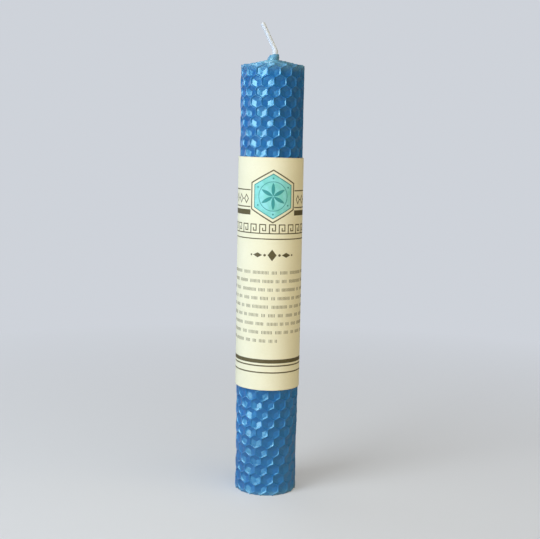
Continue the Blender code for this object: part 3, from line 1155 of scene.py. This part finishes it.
def build_medallion(wrap, dark, teal, deep_teal):
    """A hexagon with a six-petal rosette, the pattern that compasses make."""
    z = MEDALLION_HEIGHT * MM
    field_outline = hexagon(0, z, (MEDALLION_RADIUS - MEDALLION_FIELD_INSET) * MM)
    frame_ink = Print(wrap)
    frame_ink.ring(hexagon(0, z, MEDALLION_RADIUS * MM), FRAME_SHARE)
    frame_ink.finish("label_medallion_frame", dark)
    field = Print(wrap)
    field.polygon(field_outline)
    field.finish("label_medallion_field", teal)
    lines = Print(wrap, 2)
    lines.ring(field_outline, FINE_LINE_SHARE)
    lines.ring(circle(0, z, ROSETTE_RADIUS * MM), FINE_LINE_SHARE)
    for k in range(6):
        bearing = math.radians(30 + 60 * k)
        away = unit(bearing) * PETAL_GAP * MM
        lines.polygon(petal(away.x, z + away.y, (PETAL_LENGTH - PETAL_GAP) * MM, bearing))
        dot_s = ROSETTE_DOT_PLACE * MM * math.cos(bearing)
        dot_z = z + ROSETTE_DOT_PLACE * MM * math.sin(bearing)
        lines.polygon(circle(dot_s, dot_z, ROSETTE_DOT_RADIUS * MM, 16))
    lines.finish("label_medallion_rosette", deep_teal)


def build_side_lozenges(wrap, ink):
    """Lozenges and dots in turn, away from the medallion on both sides."""
    row = Print(wrap)
    z = (SIDE_BAND_HEIGHT + LOZENGE_RISE) * MM
    for side in (1, -1):
        for k in range(LOZENGE_COUNT):
            s = side * (LOZENGE_START + LOZENGE_PITCH * k) * MM
            row.ring(lozenge(s, z, LOZENGE_HALF_WIDTH * MM, LOZENGE_HALF_HEIGHT * MM), LOZENGE_BAND_SHARE)
            row.polygon(circle(s + side * LOZENGE_PITCH / 2 * MM, z, LOZENGE_DOT_RADIUS * MM, 12))
    row.finish("label_lozenges", ink)


def build_key_row(wrap, ink):
    """A running key pattern in one outline: hooks that stand on a line along the foot."""
    post = 0.6
    inner = 2.0
    drop = 3.4
    low = 1.3
    tip = 2.9
    top = KEY_ROW_UNIT
    hook = [(post + KEY_STROKE, KEY_STROKE), (post + KEY_STROKE, top - KEY_STROKE), (drop, top - KEY_STROKE)]
    hook += [(drop, low + KEY_STROKE), (inner + KEY_STROKE, low + KEY_STROKE), (inner + KEY_STROKE, tip)]
    hook += [(inner, tip), (inner, low), (drop + KEY_STROKE, low), (drop + KEY_STROKE, top), (post, top)]
    hook.append((post, KEY_STROKE))
    half_width = KEY_ROW_COUNT * KEY_ROW_UNIT / 2
    outline = [(-half_width, KEY_STROKE), (-half_width, 0), (half_width, 0), (half_width, KEY_STROKE)]
    for k in reversed(range(KEY_ROW_COUNT)):
        outline += [(k * KEY_ROW_UNIT - half_width + s, z) for s, z in hook]
    base = KEY_ROW_HEIGHT - KEY_ROW_UNIT / 2
    row = Print(wrap)
    row.polygon([(s * MM, (base + z) * MM) for s, z in outline])
    row.finish("label_key_row", ink)


def build_divider(wrap, ink):
    """A lozenge between dots and tapering bars."""
    row = Print(wrap)
    z = DIVIDER_HEIGHT * MM
    width, height = DIVIDER_LOZENGE_HALVES
    row.polygon(lozenge(0, z, width * MM, height * MM))
    width, height = DIVIDER_BAR_HALVES
    for side in (1, -1):
        row.polygon(lozenge(side * DIVIDER_BAR_PLACE * MM, z, width * MM, height * MM))
        for place, radius in zip(DIVIDER_DOT_PLACES, DIVIDER_DOT_RADII):
            row.polygon(circle(side * place * MM, z, radius * MM, 16))
    row.finish("label_divider", ink)


def build_text_texture(wrap, ink):
    """Where a paragraph would be: lines of plain upright ticks in groups, which say nothing."""
    rng = random.Random(11)
    ticks = Print(wrap)
    for line in range(TEXT_LINES):
        z = (TEXT_TOP_HEIGHT - TEXT_LINE_PITCH * line) * MM
        foot = z - TICK_HEIGHT / 2 * MM
        head = z + TICK_HEIGHT / 2 * MM
        s = -TEXT_HALF_WIDTH
        stop = TEXT_HALF_WIDTH if line < TEXT_LINES - 1 else TEXT_LAST_LINE_END
        while s < stop:
            for _ in range(rng.choice(TICK_GROUPS)):
                if s > stop:
                    break
                ticks.bar(s * MM, (s + TICK_WIDTH) * MM, foot, head)
                s += TICK_PITCH
            s += rng.uniform(*TICK_GROUP_GAPS)
    ticks.finish("label_text_lines", ink)


# The camera, the lights and the floor


def build_camera():
    data = bpy.data.cameras.new("camera")
    data.sensor_width = SENSOR_WIDTH_MM
    data.lens = FOCAL_LENGTH_PX / PHOTO_WIDTH_PX * SENSOR_WIDTH_MM
    data.clip_start = 0.01
    data.clip_end = 20
    camera = bpy.data.objects.new("camera", data)
    camera.location = (CAMERA_SIDE, -CAMERA_DISTANCE, CAMERA_HEIGHT)
    aim = Matrix.Rotation(math.pi / 2 - CAMERA_PITCH, 3, "X") @ Matrix.Rotation(CAMERA_ROLL, 3, "Z")
    camera.rotation_euler = aim.to_euler()
    bpy.context.scene.collection.objects.link(camera)
    bpy.context.scene.camera = camera


def add_light(name, place, target, size, power, colour, glossy=True):
    data = bpy.data.lights.new(name, "AREA")
    data.shape = "RECTANGLE"
    data.size, data.size_y = size
    data.energy = power
    data.color = colour
    light = bpy.data.objects.new(name, data)
    light.visible_camera = False
    light.visible_glossy = glossy
    light.location = place
    light.rotation_euler = (Vector(target) - Vector(place)).to_track_quat("-Z", "Y").to_euler()
    bpy.context.scene.collection.objects.link(light)


def build_lights():
    add_light("window", (-0.66, -0.60, 0.37), LIGHTS_AIM, (0.52, 0.74), 7.25, DAYLIGHT)
    add_light("sky", (-0.50, -0.54, 0.86), LIGHTS_AIM, (0.9, 0.8), 3.8, DAYLIGHT)
    add_light("fill", (1.15, -0.95, 0.95), LIGHTS_AIM, (3.4, 2.6), 6.5, (1.0, 0.79, 0.42), glossy=False)
    add_light("bounce", (1.10, -1.15, 0.75), LIGHTS_AIM, (2.4, 1.8), 17.2, (1.0, 0.80, 0.44), glossy=False)
    add_light("back", (-0.90, 1.07, 0.60), LIGHTS_AIM, (1.4, 1.2), 4.5, (0.85, 0.94, 1.0))
    world = bpy.data.worlds.new("studio")
    world.use_nodes = True
    tree = world.node_tree
    ambient = tree.nodes["Background"]
    ambient.inputs["Color"].default_value = AMBIENT_COLOUR
    ambient.inputs["Strength"].default_value = AMBIENT_STRENGTH
    backdrop = tree.nodes.new("ShaderNodeBackground")
    backdrop.inputs["Color"].default_value = BACKDROP_COLOUR
    path = tree.nodes.new("ShaderNodeLightPath")
    chosen = tree.nodes.new("ShaderNodeMixShader")
    tree.links.new(path.outputs["Is Camera Ray"], chosen.inputs["Fac"])
    tree.links.new(ambient.outputs["Background"], chosen.inputs[1])
    tree.links.new(backdrop.outputs["Background"], chosen.inputs[2])
    tree.links.new(chosen.outputs["Shader"], tree.nodes["World Output"].inputs["Surface"])
    bpy.context.scene.world = world


def floor_material():
    """Plain and pale to the camera, with soft shadows near the candle, and blending into the backdrop."""
    floor = Shader("pale_floor")
    seen = floor.add("ShaderNodeLightPath").outputs["Is Camera Ray"]
    floor.set(Base_Color=floor.colours(seen, FLOOR_LIT_COLOUR, FLOOR_SEEN_COLOUR), Roughness=0.8)
    floor.bump([(floor.noise(900.0, 3.0), 0.1, 0.0001)])
    flat = floor.add("ShaderNodeEmission")
    flat.inputs["Color"].default_value = BACKDROP_COLOUR
    distance = floor.add("ShaderNodeVectorMath", operation="LENGTH")
    floor.link(floor.object_place, distance.inputs[0])
    far = floor.ranged(
        distance.outputs["Value"], FLOOR_BLEND_START, FLOOR_BLEND_END, FLOOR_BLEND_LEAST, 1.0
    )
    blend = floor.add("ShaderNodeMixShader")
    floor.link(floor.math("MULTIPLY", far, seen), blend.inputs["Fac"])
    floor.link(floor.bsdf.outputs["BSDF"], blend.inputs[1])
    floor.link(flat.outputs["Emission"], blend.inputs[2])
    floor.link(blend.outputs["Shader"], floor.tree.nodes["Material Output"].inputs["Surface"])
    return floor.material


def build_floor():
    bpy.ops.mesh.primitive_grid_add(x_subdivisions=8, y_subdivisions=8, size=FLOOR_SIZE)
    floor = bpy.context.object
    floor.name = "floor"
    floor.data.materials.append(floor_material())


def main():
    build_camera()
    wax = wax_material()
    build_outer_turn(wax)
    build_inner_turns(wax)
    cotton = wick_material()
    build_braid(cotton)
    build_core(cotton)
    build_fibres(cotton)
    wrap = Wrap()
    build_paper(wrap, paper_material())
    print_label(wrap)
    build_lights()
    build_floor()
    bpy.context.scene.view_settings.view_transform = "Standard"


main()
